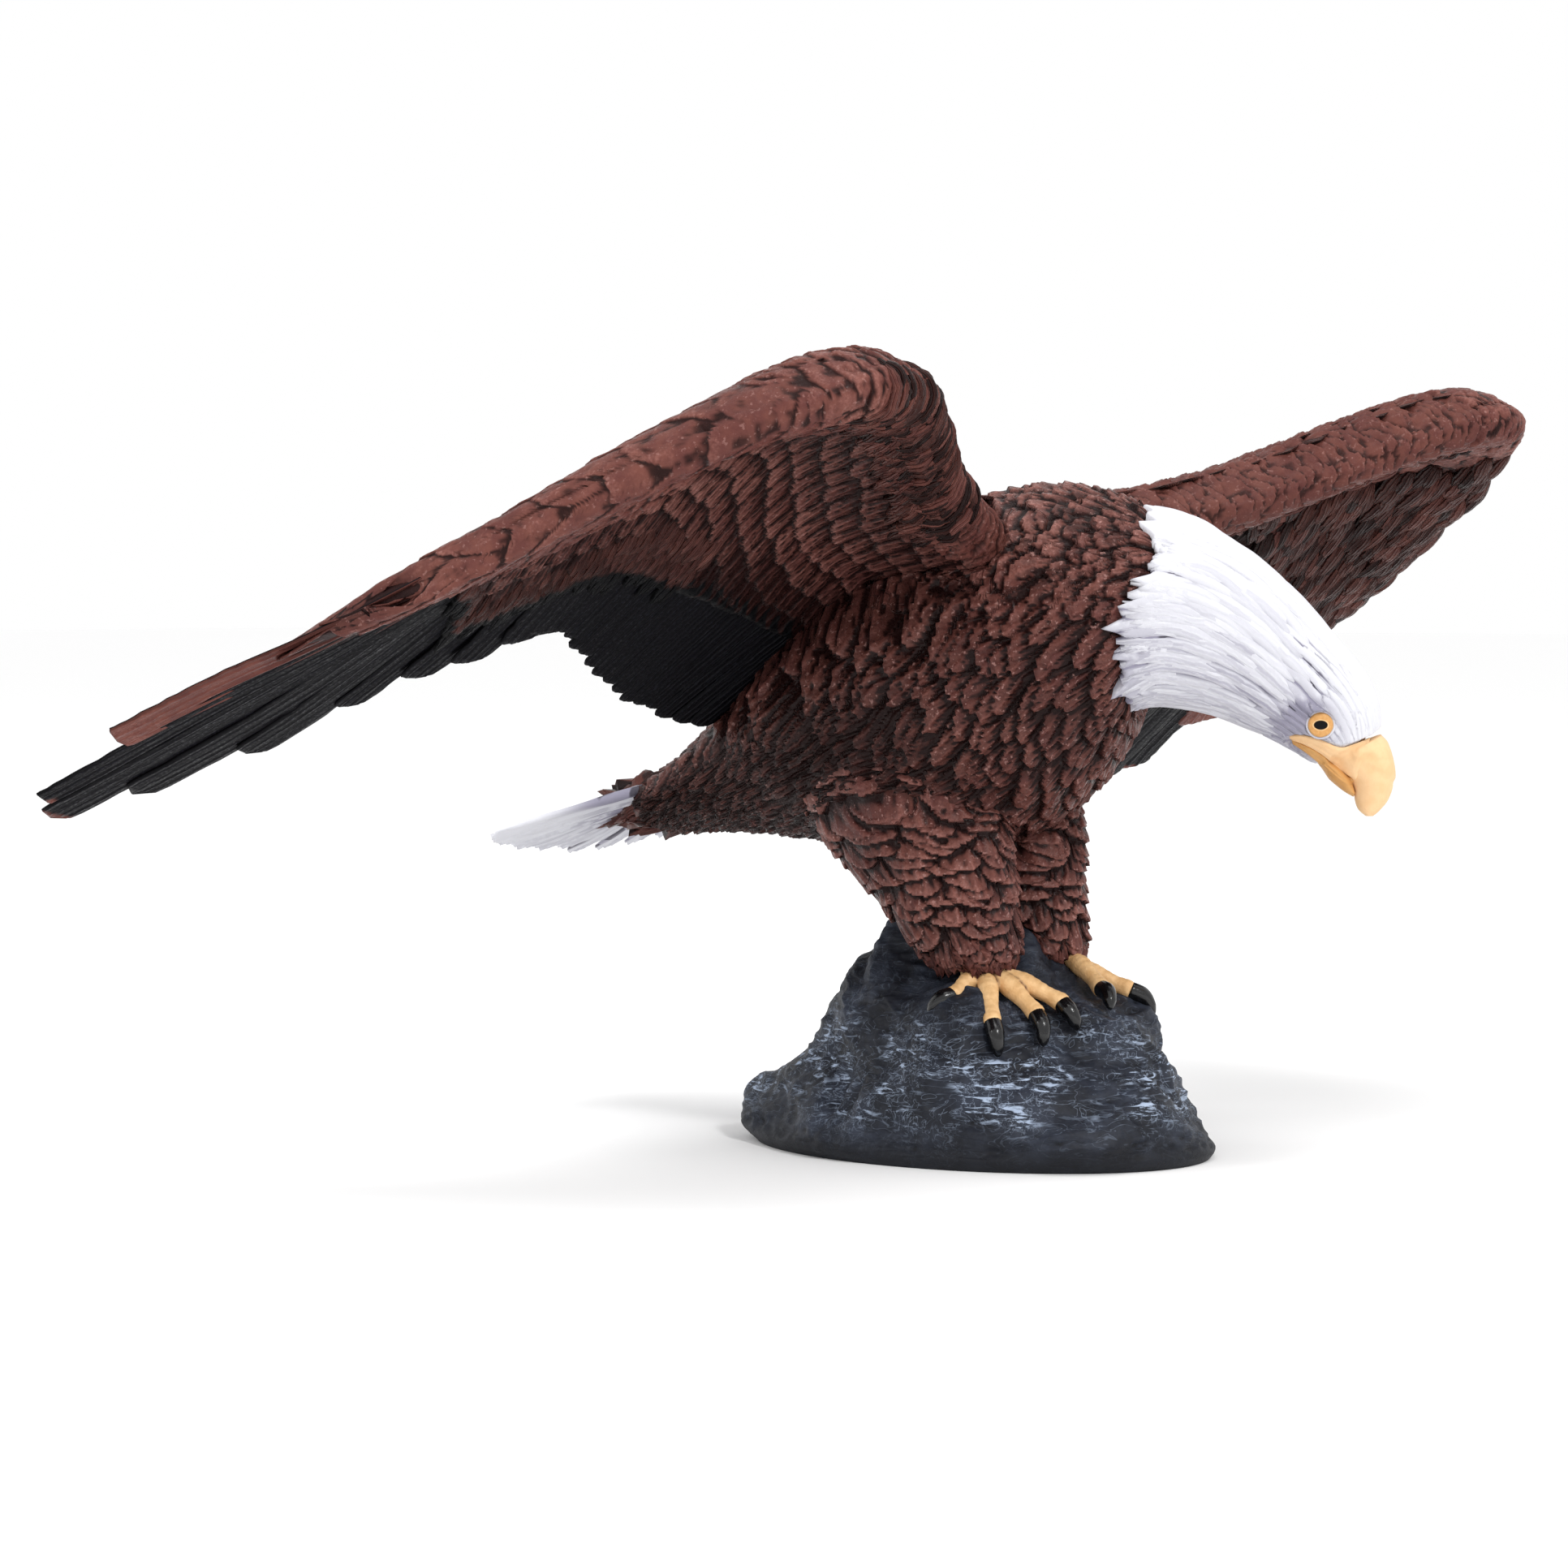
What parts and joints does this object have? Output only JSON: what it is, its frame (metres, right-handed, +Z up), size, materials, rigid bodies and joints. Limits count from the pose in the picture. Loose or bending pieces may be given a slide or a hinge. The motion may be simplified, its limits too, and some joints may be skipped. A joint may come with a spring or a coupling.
{
  "type": "toy bald eagle figurine on a rock base",
  "caption": "Painted plastic bald eagle figurine with raised swept-back wings and a bent head, moulded onto a flat-bottomed rock base.",
  "frame": {"origin": "middle of the rock base's flat underside", "axes": "+Z up, the bird faces -Y, its left wing is towards +X"},
  "size_m": [0.2106, 0.1163, 0.0934],
  "materials": {
    "rock": "moulded slate grey with pale blue-grey dry brushing",
    "brown_plumage": "satin red-brown paint with a near-black wash in the grooves",
    "flight_feathers": "satin near-black paint with fine moulded striations",
    "white_plumage": "matte white paint with a lilac-grey wash in the grooves",
    "bill": "satin pale yellow paint",
    "foot": "satin yellow paint with a brown wash",
    "claw": "glossy black paint",
    "eye": "glossy yellow paint with a black pupil"
  },
  "bodies": {
    "root": {"rock_base": "rock", "trunk": "brown_plumage", "neck": "white_plumage", "head": "white_plumage", "bill_upper": "bill", "bill_lower": "bill", "tail": "white_plumage", "eye_left": "eye", "thigh_left": "brown_plumage", "foot_left": "foot", "claw_outer_left": "claw", "claw_middle_left": "claw", "claw_inner_left": "claw", "claw_hind_left": "claw", "wing_forearm_left": "brown_plumage", "wing_hand_left": "brown_plumage", "wing_secondaries_left": "flight_feathers", "wing_primaries_left": "flight_feathers", "eye_right": "eye", "thigh_right": "brown_plumage", "foot_right": "foot", "claw_outer_right": "claw", "claw_middle_right": "claw", "claw_inner_right": "claw", "claw_hind_right": "claw", "wing_forearm_right": "brown_plumage", "wing_hand_right": "brown_plumage", "wing_secondaries_right": "flight_feathers", "wing_primaries_right": "flight_feathers"}
  },
  "joints": []
}
